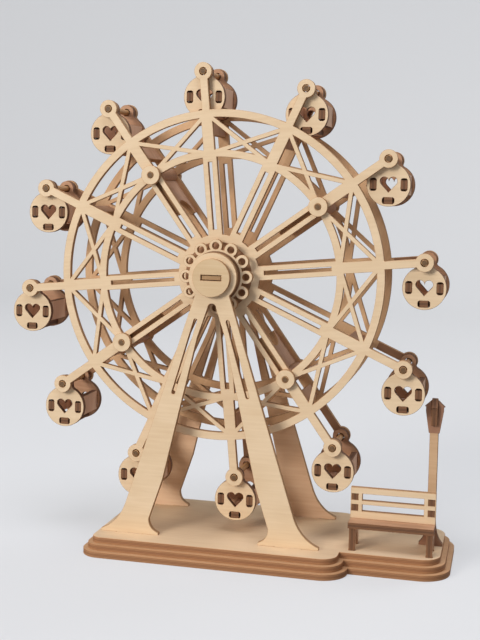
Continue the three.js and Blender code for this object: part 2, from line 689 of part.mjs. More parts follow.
// Right-hand half of the lamp's foot, from its toe to the post.
function lampFootHalf() {
  const toe = point(LAMP_FOOT_WIDTH / 2, TOE_HEIGHT);
  const neck = point(LAMP_POST_WIDTH / 2, LAMP_FOOT_HEIGHT);
  const hollow = point(LAMP_POST_WIDTH / 2, LAMP_FOOT_HEIGHT * LAMP_FOOT_HOLLOW_SHARE);
  return [point(toe.x, 0), ...bend(toe, hollow, neck)];
}

// Right-hand half of the lantern above its foot, as far as the lap slot leaves it.
function lanternHalf(inner) {
  const roofSlope = LANTERN_ROOF_HEIGHT / (LANTERN_EAVE_WIDTH - LANTERN_PEAK_WIDTH);
  return [
    point(LANTERN_WIDTH / 2, eaveHeight - LANTERN_SHOULDER_DROP),
    point(LANTERN_WIDTH / 2, eaveHeight),
    point(LANTERN_EAVE_WIDTH / 2, eaveHeight),
    point(inner, eaveHeight + (LANTERN_EAVE_WIDTH - 2 * inner) * roofSlope),
  ];
}

// The post carries foot and lantern in one sheet, and is lapped at both ends by a crossing sheet.
function lampPost() {
  const lanternLap = lanternFoot + LANTERN_LAP_HEIGHT - SLOT_GAP;
  const half = [
    point(lapHalf, LAMP_FOOT_LAP_HEIGHT + SLOT_GAP),
    point(lapHalf, 0),
    ...lampFootHalf(),
    point(LAMP_POST_WIDTH / 2, lanternFoot),
    point(LANTERN_FOOT_WIDTH / 2, lanternFoot),
    ...lanternHalf(lapHalf),
    point(lapHalf, lanternLap),
  ];
  return cutSheet([...half, ...mirrored(half)]);
}

function lampFootCross() {
  const half = [
    point(LAMP_TENON_WIDTH / 2, -PLY),
    point(LAMP_TENON_WIDTH / 2, 0),
    ...lampFootHalf().filter((p) => p.y < LAMP_FOOT_CROSS_HEIGHT),
    point(lapHalf, LAMP_FOOT_CROSS_HEIGHT),
    point(lapHalf, LAMP_FOOT_LAP_HEIGHT),
  ];
  return cutSheet([...half, ...mirrored(half)]);
}

function lanternCross() {
  const rise = LANTERN_CROSS_START / (LANTERN_HEIGHT - LANTERN_ROOF_HEIGHT - LANTERN_SHOULDER_DROP);
  const startWidth = LANTERN_FOOT_WIDTH + (LANTERN_WIDTH - LANTERN_FOOT_WIDTH) * rise;
  const half = [
    point(lapHalf, lanternFoot + LANTERN_LAP_HEIGHT),
    point(lapHalf, lanternFoot + LANTERN_CROSS_START),
    point(startWidth / 2, lanternFoot + LANTERN_CROSS_START),
    ...lanternHalf(LANTERN_PEAK_WIDTH / 2),
  ];
  return cutSheet([...half, ...mirrored(half)]);
}

function makeLamp() {
  const lamp = new THREE.Group();
  lamp.position.set(lampX, LAMP_Y, baseTop);
  lamp.add(piece('lamp_post', facingFront(lampPost()), plywood));
  lamp.add(piece('lamp_foot_cross', facingSide(lampFootCross()), plywood));
  lamp.add(piece('lamp_lantern_cross', facingSide(lanternCross()), plywood));
  return lamp;
}

const ferrisWheel = new THREE.Group();
ferrisWheel.add(makeBase(), makeStand(), makeWheel(), makeCabins(), makeBench(), makeLamp());

export default ferrisWheel;
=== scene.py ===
import math

import bmesh
import bpy
from mathutils import Matrix, Vector


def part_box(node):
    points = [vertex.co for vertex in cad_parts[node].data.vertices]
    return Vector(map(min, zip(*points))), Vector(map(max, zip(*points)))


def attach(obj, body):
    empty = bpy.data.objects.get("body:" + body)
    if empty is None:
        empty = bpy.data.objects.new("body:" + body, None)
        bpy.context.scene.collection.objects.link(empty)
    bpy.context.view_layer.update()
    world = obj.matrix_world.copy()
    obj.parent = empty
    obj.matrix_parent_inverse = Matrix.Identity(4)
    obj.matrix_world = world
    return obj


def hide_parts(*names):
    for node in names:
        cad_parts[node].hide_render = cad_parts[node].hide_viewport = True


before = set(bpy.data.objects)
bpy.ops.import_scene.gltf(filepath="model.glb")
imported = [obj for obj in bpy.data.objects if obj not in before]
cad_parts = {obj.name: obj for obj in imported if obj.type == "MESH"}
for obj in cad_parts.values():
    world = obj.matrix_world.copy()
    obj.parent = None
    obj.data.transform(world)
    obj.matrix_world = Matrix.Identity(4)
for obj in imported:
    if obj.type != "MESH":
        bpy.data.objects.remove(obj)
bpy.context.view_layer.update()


# The base: three layers of laser-cut birch plywood, glued flat on each other in steps.
# A deep main plate carries the wheel, and a narrower one on its right the bench and the lamp.
MM = 0.001
PLY = 2
BURR = 0.1
SLOT_GAP = 0.1
BASE_TOP = 3 * PLY
BASE_STEP = 1.6
MAIN_MARGIN = 6.8
STATION_HALF_DEPTH = 18.8
LEFT_CORNER, RIGHT_CORNER, STATION_CORNER = 3.5, 5.5, 6.5
FOOT_TENON_X, FOOT_TENON = 27.35, 9
LAMP_TENON, BENCH_TENON = 4, 1
WELD, FLAT, CREASE = 0.002, 0.9, math.radians(30)


def linear(code, alpha=1):
    """Turns an sRGB hex value into the linear colour that a shader takes."""
    parts = [int(code[i:i + 2], 16) / 255 for i in (0, 2, 4)]
    return [p / 12.92 if p <= 0.04045 else ((p + 0.055) / 1.055) ** 2.4 for p in parts] + [alpha]


def add(tree, kind, inputs=None, stops=(), **settings):
    """Adds a shader node with its settings, its constant inputs and its links."""
    new = tree.nodes.new("ShaderNode" + kind)
    for key, value in settings.items():
        setattr(new, key, value)
    for key, value in (inputs or {}).items():
        if isinstance(value, bpy.types.NodeSocket):
            tree.links.new(value, new.inputs[key])
        else:
            new.inputs[key].default_value = value
    for index, (place, code) in enumerate(stops):
        ramp = new.color_ramp.elements
        stop = ramp[index] if index < 2 else ramp.new(place)
        stop.position, stop.color = place, linear(code)
    return new


def new_material(name):
    material = bpy.data.materials.new(name)
    material.use_nodes = True
    tree = material.node_tree
    return material, tree, tree.nodes["Principled BSDF"]


def own_place(tree, scale):
    """The piece's own coordinates in metres, shifted for each piece, so that no two match."""
    place = add(tree, "TexCoord").outputs["Object"]
    chance = add(tree, "ObjectInfo").outputs["Random"]
    shifted = add(tree, "VectorMath", {0: place, 1: chance}, operation="ADD").outputs["Vector"]
    return add(tree, "Mapping", {"Vector": shifted, "Scale": scale}).outputs["Vector"]


def ply_face(name, dark, mid, pale):
    """Bare sanded birch veneer: soft streaks along the grain and a faint broad mottle."""
    material, tree, shader = new_material(name)
    # Real birch grain lines lie 0.3 to 0.5 mm apart. They are drawn 0.9 mm apart here, and
    # 14 mm long, so that they don't flicker at the size of the picture.
    grain = add(tree, "TexNoise", {"Vector": own_place(tree, (70, 1100, 1100)), "Scale": 1,
                                   "Detail": 3, "Roughness": 0.55}).outputs["Fac"]
    mottle = add(tree, "TexNoise", {"Vector": own_place(tree, (45, 90, 90)), "Scale": 1}).outputs["Fac"]
    mixed = add(tree, "Math", {0: grain, 1: mottle}, operation="ADD").outputs["Value"]
    half = add(tree, "Math", {0: mixed, 1: 0.5}, operation="MULTIPLY").outputs["Value"]
    colour = add(tree, "ValToRGB", {"Fac": half}, [(0.36, dark), (0.66, pale), (0.5, mid)])
    tree.links.new(colour.outputs["Color"], shader.inputs["Base Color"])
    bump = add(tree, "Bump", {"Height": grain, "Strength": 0.2, "Distance": 0.00005})
    tree.links.new(bump.outputs["Normal"], shader.inputs["Normal"])
    shader.inputs["Roughness"].default_value = 0.62
    shader.inputs["IOR"].default_value = 1.5
    return material


def ply_edge(name, char, brown, core):
    """The laser's cut: toasted brown, with the veneers showing as paler and darker stripes."""
    material, tree, shader = new_material(name)
    place = add(tree, "SeparateXYZ", {"Vector": add(tree, "TexCoord").outputs["Object"]})
    # Three veneers in 2 mm: the core, a charred line at each glue joint, and two outer ones
    # that darken outward, up to a paler rim.
    level = add(tree, "Math", {0: place.outputs["Z"], 1: 1 / (PLY / 2 * MM)}, operation="MULTIPLY")
    depth = add(tree, "Math", {0: level.outputs["Value"]}, operation="ABSOLUTE").outputs["Value"]
    smoke = add(tree, "TexNoise", {"Vector": own_place(tree, (350, 350, 350)), "Scale": 1,
                                   "Detail": 4}).outputs["Fac"]
    shifted = add(tree, "Math", {0: smoke, 1: 0.5, 2: depth}, operation="MULTIPLY_ADD").outputs["Value"]
    colour = add(tree, "ValToRGB", {"Fac": shifted},
                 [(0.25, core), (1.0, char), (0.55, char), (0.7, brown), (1.0, brown)])
    tree.links.new(colour.outputs["Color"], shader.inputs["Base Color"])
    shader.inputs["Roughness"].default_value = 0.75
    shader.inputs["IOR"].default_value = 1.5
    return material


# Bare birch: the clean side, pale and a little yellow.
PALE_TONES = ("DFC39E", "E4CAA6", "EAD1AF")
PALE_FACE = ply_face("birch_plywood_face", *PALE_TONES)
# The back of each sheet, toned browner than the clean side: painted shade for the faces that look
# inward.
BACK_SHADE_TONES = ("D0A67C", "D7AF84", "DDB78D")
BACK_SHADE_FACE = ply_face("plywood_back_painted_shade", *BACK_SHADE_TONES)
# The cut, toasted by the laser, and deeper where it took longer, through the wide base plates.
CUT_EDGE = ply_edge("laser_cut_edge", "96704B", "C49B71", "AF8760")
BASE_EDGE = ply_edge("thick_laser_cut_edge", "8B6040", "B6845A", "A06F49")


def arc(x, y, radius, start, end, steps):
    """Points on an arc about (x, y), both ends included. Angles are in degrees."""
    angles = [math.radians(start + (end - start) * i / steps) for i in range(steps + 1)]
    return [Vector((x + radius * math.cos(a), y + radius * math.sin(a))) for a in angles]


def circle(x, y, radius, steps=32):
    return arc(x, y, radius, 0, 360, steps)[:-1]


def box(left, right, bottom, top):
    return [Vector(p) for p in ((left, bottom), (right, bottom), (right, top), (left, top))]


def mirrored(points):
    return [Vector((-p.x, p.y)) for p in reversed(points)]


def sheet_mesh(name, outline, holes=(), thickness=PLY):
    """A flat sheet in mm, its edges just broken. Material 0 is the face, 1 the back, 2 the cut."""
    curve = bpy.data.curves.new(name, "CURVE")
    curve.dimensions, curve.fill_mode = "2D", "BOTH"
    curve.extrude = thickness / 2 - BURR
    curve.bevel_depth, curve.bevel_resolution, curve.offset = BURR, 0, -BURR
    for loop in [outline, *holes]:
        spline = curve.splines.new("POLY")
        spline.points.add(len(loop) - 1)
        spline.use_cyclic_u = True
        for target, point in zip(spline.points, loop):
            target.co = (point.x, point.y, 0, 1)
    holder = bpy.data.objects.new(name, curve)
    mesh = bpy.data.meshes.new_from_object(holder)
    bpy.data.objects.remove(holder)
    shape = bmesh.new()
    shape.from_mesh(mesh)
    bmesh.ops.remove_doubles(shape, verts=shape.verts, dist=WELD)
    bmesh.ops.recalc_face_normals(shape, faces=shape.faces)
    for face in shape.faces:
        face.smooth = True
        face.material_index = 0 if face.normal.z > FLAT else 1 if face.normal.z < -FLAT else 2
    bmesh.ops.scale(shape, vec=(MM, MM, MM), verts=shape.verts)
    shape.to_mesh(mesh)
    shape.free()
    mesh.name = name
    mesh.set_sharp_from_angle(angle=CREASE)
    return mesh


LYING = Matrix.Identity(4)
FACING_FRONT = Matrix.Rotation(math.radians(90), 4, "X")
FACING_SIDE = Matrix.Rotation(math.radians(90), 4, "Z") @ FACING_FRONT
ENDS = (("front", -1), ("rear", 1))


def place(name, mesh, pose, body, slot="plywood", materials=None, replaces=()):
    """Puts one piece in its place in the frame, on the body that carries it."""
    piece = bpy.data.objects.new(name, mesh)
    bpy.context.scene.collection.objects.link(piece)
    if not mesh.materials:
        # Unless told otherwise, the back gets the painted-shade tone.
        for material in materials or (PALE_FACE, BACK_SHADE_FACE, CUT_EDGE):
            mesh.materials.append(material)
    piece.matrix_world = pose
    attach(piece, body)
    if replaces:
        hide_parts(*replaces)
    return piece


def at(x, y, z):
    return Matrix.Translation(Vector((x, y, z)) * MM)


def middle(node):
    """The middle of a piece of the CAD frame, in mm."""
    low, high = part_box(node)
    return (low + high) / 2 / MM


BASE_LOW, BASE_HIGH = [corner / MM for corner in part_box("base_top_layer")]
MAIN_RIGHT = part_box("front_frame")[1].x / MM + MAIN_MARGIN
FRAME_Y = middle("rear_frame").y
BENCH_SIDES_X = [middle(f"bench_{end}_side").x for end in ("left", "right")]
BENCH_LEGS_Y = (-15, -7.6)
LAMP = middle("lamp_post")


def base_outline(step):
    station = BASE_HIGH.x - STATION_CORNER, STATION_HALF_DEPTH - STATION_CORNER
    rear = [
        *arc(*station, STATION_CORNER + step, 0, 90, 16),
        Vector((MAIN_RIGHT + step, STATION_HALF_DEPTH + step)),
        *arc(MAIN_RIGHT - RIGHT_CORNER, BASE_HIGH.y - RIGHT_CORNER, RIGHT_CORNER + step, 0, 90, 16),
        *arc(BASE_LOW.x + LEFT_CORNER, BASE_HIGH.y - LEFT_CORNER, LEFT_CORNER + step, 90, 180, 16),
    ]
    return rear + [Vector((p.x, -p.y)) for p in reversed(rear)]


def slot_loop(x, y, width, depth):
    half_width, half_depth = width / 2 + SLOT_GAP, depth / 2 + SLOT_GAP
    return box(x - half_width, x + half_width, y - half_depth, y + half_depth)


top_slots = [slot_loop(LAMP.x, LAMP.y, PLY, LAMP_TENON)]
for side in (-1, 1):
    top_slots += [slot_loop(side * FOOT_TENON_X, y, FOOT_TENON, PLY) for y in (-FRAME_Y, FRAME_Y)]
for x in BENCH_SIDES_X:
    top_slots += [slot_loop(x, y, PLY, BENCH_TENON) for y in BENCH_LEGS_Y]
# The top layer's face is toned a little darker and pinker than bare birch: painted shade. The two lower
# layers show only the margin along the cut, which the smoke has browned.
BASE_SHADED_FACE = ply_face("base_face_painted_shade", "DABC98", "E0C4A0", "E6CBA9")
MARGIN_FACE = ply_face("smoke_browned_plywood_margin", "B98E66", "C2986F", "CAA27B")
for layer, name in enumerate(["bottom", "middle", "top"]):
    face = BASE_SHADED_FACE if name == "top" else MARGIN_FACE
    outline = base_outline((2 - layer) * BASE_STEP)
    mesh = sheet_mesh(f"base_{name}", outline, top_slots if name == "top" else ())
    pose = at(0, 0, (layer + 0.5) * PLY) @ LYING
    place(f"base_{name}", mesh, pose, "stand", materials=(face, BACK_SHADE_FACE, BASE_EDGE),
          replaces=[f"base_{name}_layer"])


# The two A-frames: one sheet of plywood each, with a round head for the axle, a narrow slit down
# each leg and flared feet, whose tenons are glued into the base's top layer.
HUB = middle("axle").z
AXLE_RADIUS = 2
HEAD_RADIUS, NECK_ANGLE = 8.2, -45
OPENING_DROP, OPENING_RADIUS = 8.6, 1.4
SHOULDER_REACH, SHOULDER_DROP = 4.8, 20
SHIN_REACH, SHIN_HEIGHT = 16, 19.3
INNER_KNEE_REACH, INNER_KNEE_HEIGHT = 20.6, 5.5
OUTER_KNEE_REACH, OUTER_KNEE_HEIGHT = 28.9, 10.3
HEEL_REACH, TOE_REACH, TOE_HEIGHT = 17.2, 37.5, 0.8
FOOT_HOLLOW = 2.4
SLIT_WIDTH, SLIT_START_SHARE, SLIT_END_SHARE = 1.2, 0.09, 0.43


def bend(start, control, end, steps=12):
    """Points on a curve that leaves its start and meets its end towards one control point."""
    points = []
    for i in range(steps + 1):
        t = i / steps
        ends = Vector(start) * (1 - t) ** 2 + Vector(end) * t ** 2
        points.append(ends + Vector(control) * 2 * t * (1 - t))
    return points


def polar(radius, angle):
    """A point at a radius from the middle and an angle in degrees."""
    return Vector((radius * math.cos(math.radians(angle)), radius * math.sin(math.radians(angle))))


def facing_out(side, line=90):
    """Stands a sheet up with its clean face outward, at the rear by turning it over about a line."""
    turned = Matrix.Rotation(math.radians(180), 4, polar(1, line).to_3d())
    return FACING_FRONT @ (turned if side > 0 else LYING)


def frame_outline():
    opening_corner = HUB - OPENING_DROP - OPENING_RADIUS
    foot_top = BASE_TOP + TOE_HEIGHT
    tenon_left, tenon_right = FOOT_TENON_X - FOOT_TENON / 2, FOOT_TENON_X + FOOT_TENON / 2
    right = [
        *arc(0, opening_corner, OPENING_RADIUS, 90, 0, 8)[1:],
        Vector((SHOULDER_REACH, HUB - SHOULDER_DROP)),
        Vector((SHIN_REACH, BASE_TOP + SHIN_HEIGHT)),
        *bend((INNER_KNEE_REACH, BASE_TOP + INNER_KNEE_HEIGHT),
              (INNER_KNEE_REACH, foot_top + FOOT_HOLLOW / 2), (HEEL_REACH, foot_top)),
        *[Vector(p) for p in ((HEEL_REACH, BASE_TOP), (tenon_left, BASE_TOP),
                              (tenon_left, BASE_TOP - PLY), (tenon_right, BASE_TOP - PLY),
                              (tenon_right, BASE_TOP), (TOE_REACH, BASE_TOP))],
        *bend((TOE_REACH, foot_top), (OUTER_KNEE_REACH + FOOT_HOLLOW, foot_top + FOOT_HOLLOW),
              (OUTER_KNEE_REACH, BASE_TOP + OUTER_KNEE_HEIGHT)),
        *arc(0, HUB, HEAD_RADIUS, NECK_ANGLE, 90, 32),
    ]
    return [Vector((0, HUB - OPENING_DROP)), *right, *mirrored(right)[1:]]


def leg_slit():
    """The narrow slit down the middle line of the right leg."""
    neck = Vector((0, HUB)) + polar(HEAD_RADIUS, NECK_ANGLE)
    leg_top = neck.lerp(Vector((OPENING_RADIUS, HUB - OPENING_DROP - OPENING_RADIUS)), 0.5)
    outer_knee = Vector((OUTER_KNEE_REACH, BASE_TOP + OUTER_KNEE_HEIGHT))
    leg_foot = outer_knee.lerp(Vector((INNER_KNEE_REACH, BASE_TOP + INNER_KNEE_HEIGHT)), 0.5)
    start, end = leg_top.lerp(leg_foot, SLIT_START_SHARE), leg_top.lerp(leg_foot, SLIT_END_SHARE)
    slope = math.degrees(math.atan2(end.y - start.y, end.x - start.x))
    lower = arc(end.x, end.y, SLIT_WIDTH / 2, slope - 90, slope + 90, 8)
    return lower + arc(start.x, start.y, SLIT_WIDTH / 2, slope + 90, slope + 270, 8)


slit = leg_slit()
frame_holes = [circle(0, HUB, AXLE_RADIUS + SLOT_GAP), slit, mirrored(slit)]
frame_mesh = sheet_mesh("a_frame", frame_outline(), frame_holes)
# Each frame's back, which looks at the wheel, is toned a little darker: painted shade.
FRAME_BACK_SHADE = ply_face("frame_back_painted_shade", "DDB793", "E4C09D", "EACAA9")
for end, side in ENDS:
    pose = at(0, side * FRAME_Y, 0) @ facing_out(side)
    place(f"a_frame_{end}", frame_mesh, pose, "stand", materials=(PALE_FACE, FRAME_BACK_SHADE, CUT_EDGE),
          replaces=[f"{end}_frame"])


# The axle, a plain hardwood dowel glued into both frames. Over each of its ends a round cap is
# glued to the frame's head, and a small key of toasted plywood fills most of the cap's slot.
CAP_RADIUS, CAP_SLOT_WIDTH, CAP_SLOT_HEIGHT = 6.3, 7, 1.9
KEY_GAP, KEY_SUNK = 0.25, 0.5


def dowel_material(name, dark, pale):
    """Smooth turned hardwood, a little darker than the sheet, with fine lines along it."""
    material, tree, shader = new_material(name)
    # Grain lines 0.5 mm apart run along the dowel, which is the piece's own Z.
    grain = add(tree, "TexNoise", {"Vector": own_place(tree, (2000, 2000, 60)), "Scale": 1,
                                   "Detail": 2}).outputs["Fac"]
    colour = add(tree, "ValToRGB", {"Fac": grain}, [(0.35, dark), (0.65, pale)])
    tree.links.new(colour.outputs["Color"], shader.inputs["Base Color"])
    shader.inputs["Roughness"].default_value = 0.6
    shader.inputs["IOR"].default_value = 1.5
    return material


# The dowel's cut ends take up dirt and look dark. Cap and key come from a deeper sheet.
DOWEL_SIDE = dowel_material("turned_dowel_side", "B58657", "CBA06C")
DOWEL_END = dowel_material("sawn_dowel_end", "5F4529", "755838")
CAP_FACE = ply_face("cap_plywood_face", "CFB289", "D5B991", "DBC19B")
KEY_FACE = ply_face("toasted_key_plywood_face", "A47F57", "AE8A61", "B8956C")


def turned_mesh(name, profile, steps=32):
    """A turned piece about its own Z from (radius, height) points in mm. Its two ends are material 1."""
    shape = bmesh.new()
    rings = []
    for radius, height in profile:
        loop = circle(0, 0, radius, steps)
        rings.append([shape.verts.new((p.x * MM, p.y * MM, height * MM)) for p in loop])
    for low, high in zip(rings, rings[1:]):
        for i in range(steps):
            j = (i + 1) % steps
            shape.faces.new((low[i], low[j], high[j], high[i]))
    for ring in (rings[0][::-1], rings[-1]):
        shape.faces.new(ring).material_index = 1
    bmesh.ops.recalc_face_normals(shape, faces=shape.faces)
    for face in shape.faces:
        face.smooth = True
    mesh = bpy.data.meshes.new(name)
    shape.to_mesh(mesh)
    shape.free()
    mesh.set_sharp_from_angle(angle=CREASE)
    return mesh


def dowel_profile(radius, half):
    return [(radius - BURR, -half), (radius, BURR - half), (radius, half - BURR), (radius - BURR, half)]


def centred_box(width, height):
    return box(-width / 2, width / 2, -height / 2, height / 2)


hub_pose = at(0, 0, HUB) @ FACING_FRONT
axle = turned_mesh("axle_dowel", dowel_profile(AXLE_RADIUS, FRAME_Y + PLY / 2))
place("axle_dowel", axle, hub_pose, "stand", "dowel", (DOWEL_SIDE, DOWEL_END), ["axle"])
cap_slot = centred_box(CAP_SLOT_WIDTH, CAP_SLOT_HEIGHT)
cap_mesh = sheet_mesh("hub_cap", circle(0, 0, CAP_RADIUS, 64), [cap_slot])
key_outline = centred_box(CAP_SLOT_WIDTH - 2 * KEY_GAP, CAP_SLOT_HEIGHT - 2 * KEY_GAP)
key_mesh = sheet_mesh("cap_key", key_outline, thickness=PLY - KEY_SUNK)
for end, side in ENDS:
    cap_y = side * (FRAME_Y + PLY)
    cap_pose = at(0, cap_y, HUB) @ facing_out(side)
    key_pose = at(0, cap_y - side * KEY_SUNK / 2, HUB) @ facing_out(side)
    place(f"hub_cap_{end}", cap_mesh, cap_pose, "stand", materials=(CAP_FACE, BACK_SHADE_FACE, CUT_EDGE),
          replaces=[f"{end}_cap"])
    place(f"cap_key_{end}", key_mesh, key_pose, "stand", materials=(KEY_FACE, KEY_FACE, CUT_EDGE))


# The wheel's two discs: one laser-cut lattice each, with slotted spokes, two rings, crossed
# braces between the rings, and twelve arms that end in round eyes for the gondolas' dowels.
REST_TURN = 5.7
SPOKES, SECTOR = 12, 30
DISC_SPACING = 19
DISC_Y = (DISC_SPACING + PLY) / 2
OUTER_RADIUS, OUTER_WIDTH = 55.6, 2.6
INNER_RADIUS, INNER_WIDTH = 42.2, 2.4
HUB_PLATE_RADIUS = 14
SPOKE_WIDTH, SPOKE_SLOT, SPOKE_MARGIN = 4.8, 1.4, 1.6
STRUT_WIDTH, BRACE_WIDTH, ARM_WIDTH = 3.8, 1.4, 2.7
EYE_CIRCLE, EYE_RADIUS = 68.4, 3
TIE_CIRCLE = INNER_RADIUS - INNER_WIDTH / 2
TURN_GAP = 0.3
DOWEL_RADIUS = 1
TIE_SPOKES = (1, 4, 7, 10)
HUB_SHADE = 11.5
ARM_SHADE = (OUTER_RADIUS + 1, EYE_CIRCLE + 2 * EYE_RADIUS)
WHEEL = at(0, 0, HUB) @ Matrix.Rotation(math.radians(-REST_TURN), 4, "Y")


def half_angle(width, radius):
    """Half the angle in degrees that a bar takes up at a radius."""
    return math.degrees(math.asin(width / 2 / radius))


def window(angle, inner, outer, bar):
    """The opening between two rings and two straight bars, from one spoke to the next."""
    start, end = half_angle(bar, inner), half_angle(bar, outer)
    return [
        *arc(0, 0, outer, angle + end, angle + SECTOR - end, 10),
        *arc(0, 0, inner, angle + SECTOR - start, angle + start, 8),
    ]


def clipped(loop, origin, normal):
    """The part of a loop on the side of a line that its normal points to."""
    kept = []
    for a, b in zip(loop, loop[1:] + loop[:1]):
        here, there = (a - origin).dot(normal), (b - origin).dot(normal)
        if here >= 0:
            kept.append(a)
        if (here < 0) != (there < 0):
            kept.append(a.lerp(b, here / (here - there)))
    return kept


def braced_windows(angle):
    """The window between two struts, parted by two crossing braces into four."""
    whole = window(angle, INNER_RADIUS, OUTER_RADIUS - OUTER_WIDTH, STRUT_WIDTH)
    braces = []
    for start, end in ((angle, angle + SECTOR), (angle + SECTOR, angle)):
        outer, inner = polar(OUTER_RADIUS - OUTER_WIDTH / 2, start), polar(TIE_CIRCLE, end)
        along = (inner - outer).normalized()
        braces.append((outer, Vector((-along.y, along.x))))
    parts = []
    for first in (-1, 1):
        for second in (-1, 1):
            part = whole
            for side, (origin, normal) in zip((first, second), braces):
                part = clipped(part, origin + side * BRACE_WIDTH / 2 * normal, side * normal)
            if len(part) > 2:
                parts.append(part)
    return parts


def spoke_slot(angle):
    start, end = HUB_PLATE_RADIUS + SPOKE_MARGIN, INNER_RADIUS - INNER_WIDTH - SPOKE_MARGIN
    turn = Matrix.Rotation(math.radians(angle), 2)
    return [turn @ p for p in box(start, end, -SPOKE_SLOT / 2, SPOKE_SLOT / 2)]


def disc_mesh():
    outline = []
    holes = [circle(0, 0, AXLE_RADIUS + TURN_GAP, 48)]
    eye_neck = 180 - half_angle(ARM_WIDTH, EYE_RADIUS)
    arm_foot = half_angle(ARM_WIDTH, OUTER_RADIUS)
    for spoke in range(SPOKES):
        angle = spoke * SECTOR
        eye, tie = polar(EYE_CIRCLE, angle), polar(TIE_CIRCLE, angle)
        outline += arc(eye.x, eye.y, EYE_RADIUS, angle - eye_neck, angle + eye_neck, 24)
        outline += arc(0, 0, OUTER_RADIUS, angle + arm_foot, angle + SECTOR - arm_foot, 12)
        holes.append(circle(eye.x, eye.y, DOWEL_RADIUS + TURN_GAP, 16))
        holes.append(window(angle, HUB_PLATE_RADIUS, INNER_RADIUS - INNER_WIDTH, SPOKE_WIDTH))
        holes += [*braced_windows(angle), spoke_slot(angle)]
        if spoke in TIE_SPOKES:
            holes.append(circle(tie.x, tie.y, DOWEL_RADIUS + TURN_GAP, 16))
    return sheet_mesh("wheel_disc", outline, holes)


def painted_shade_face(name, tones, brown, spans, axis=None):
    """Veneer darkened towards a brown at some distances in mm, from the sheet's own middle or along an
    axis: painted shade.
    """
    material = ply_face(name, *tones)
    tree = material.node_tree
    shader = tree.nodes["Principled BSDF"]
    colour = shader.inputs["Base Color"].links[0].from_socket
    spot = add(tree, "TexCoord").outputs["Object"]
    if axis:
        distance = add(tree, "SeparateXYZ", {"Vector": spot}).outputs[axis]
    else:
        distance = add(tree, "VectorMath", {0: spot}, operation="LENGTH").outputs["Value"]
    for start, end in spans:
        centre, half = (start + end) / 2 * MM, (end - start) / 2 * MM
        inside = add(tree, "Math", {0: distance, 1: centre, 2: half}, operation="COMPARE")
        mix = add(tree, "MixRGB", {"Fac": inside.outputs["Value"], "Color1": colour,
                                   "Color2": linear(brown)})
        colour = mix.outputs["Color"]
    tree.links.new(colour, shader.inputs["Base Color"])
    return material


# Painted shade: the disc plates are darkened behind the hub's lobes, and the discs' backs have the
# painted-shade tone, darker still on the arms.
DISC_FACE_SHADED = painted_shade_face("disc_face_painted_shade", PALE_TONES, "9A7150", [(0, HUB_SHADE)])
DISC_BACK_SHADED = painted_shade_face("disc_back_painted_shade", BACK_SHADE_TONES, "966C4C", [ARM_SHADE])
disc = disc_mesh()
for end, side in ENDS:
    pose = WHEEL @ at(0, side * DISC_Y, 0) @ facing_out(side, SECTOR)
    place(f"lattice_disc_{end}", disc, pose, "wheel", materials=(DISC_FACE_SHADED, DISC_BACK_SHADED, CUT_EDGE),
          replaces=[f"wheel_{end}_disc"])


# The hub: a drum of glued rings between the discs, and outside each disc a spacer, a sheet
# with twelve pierced lobes round its rim, and a small thrust washer that runs on the frame.
DRUM_RADIUS, SPACER_RADIUS, WASHER_RADIUS = 8, 9, 5
LOBE_CIRCLE, LOBE_RADIUS, LOBE_HOLE = 10.3, 2.2, 1.2
LOBE_SWEEP, LOBE_TURN = 125, -4.7
FLANGE_SHADE = 8.6
BORE = circle(0, 0, AXLE_RADIUS + TURN_GAP)


def flange_outline():
    outline, holes = [], [BORE]
    for lobe in range(SPOKES):
        angle = lobe * SECTOR + LOBE_TURN
        centre = polar(LOBE_CIRCLE, angle)
        outline += arc(centre.x, centre.y, LOBE_RADIUS, angle - LOBE_SWEEP, angle + LOBE_SWEEP, 20)
        holes.append(circle(centre.x, centre.y, LOBE_HOLE, 16))
    return outline, holes


# The drum has the dark painted-shade face all through. The lobed sheet has painted shade where the
# spacer covers it.
DEEP_SHADE_FACE = ply_face("plywood_face_painted_deep_shade", "AD8160", "B98E6D", "C59C7C")
FLANGE_SHADED_FACE = painted_shade_face("flange_face_painted_shade", PALE_TONES, "8A6444", [(0, FLANGE_SHADE)])
drum = turned_mesh("hub_drum_core", dowel_profile(DRUM_RADIUS, DISC_SPACING / 2), 64)
place("hub_drum_core", drum, WHEEL @ FACING_FRONT, "wheel", "charred_plywood",
      (DEEP_SHADE_FACE, DEEP_SHADE_FACE), ["hub_drum"])
hub_sheets = (
    ("flange_spacer", sheet_mesh("flange_spacer", circle(0, 0, SPACER_RADIUS, 48), [BORE])),
    ("lobed_flange", sheet_mesh("lobed_flange", *flange_outline())),
    ("thrust_washer", sheet_mesh("thrust_washer", circle(0, 0, WASHER_RADIUS, 48), [BORE])),
)
for end, side in ENDS:
    for layer, (name, mesh) in enumerate(hub_sheets, start=1):
        pose = WHEEL @ at(0, side * (DISC_Y + layer * PLY), 0) @ facing_out(side, LOBE_TURN)
        lobed = name == "lobed_flange"
        face = FLANGE_SHADED_FACE if lobed else PALE_FACE
        place(f"{name}_{end}", mesh, pose, "wheel", materials=(face, BACK_SHADE_FACE, CUT_EDGE),
              replaces=[f"{end}_hub_flange"] if lobed else ())


# Twelve short planks keep the discs apart, one on each spoke's outer end. On every third spoke a
# dowel runs through both discs, with a washer outside each and a longer arched plank on its sleeve.
BRIDGE_INNER, BRIDGE_OUTER = 47.4, 52.2
TIE_SLEEVE, TIE_WASHER = 2.7, 3.2
TIE_PLANK, ARCH_RADIUS, ARCH_HEIGHT = 16, 7, 5
STAND_OUT = 0.3
OUTER_FACE = DISC_SPACING / 2 + PLY
# The planks and sleeves between the discs get the dark painted-shade face.
DEEP_SHADE_SET = (DEEP_SHADE_FACE, DEEP_SHADE_FACE, CUT_EDGE)


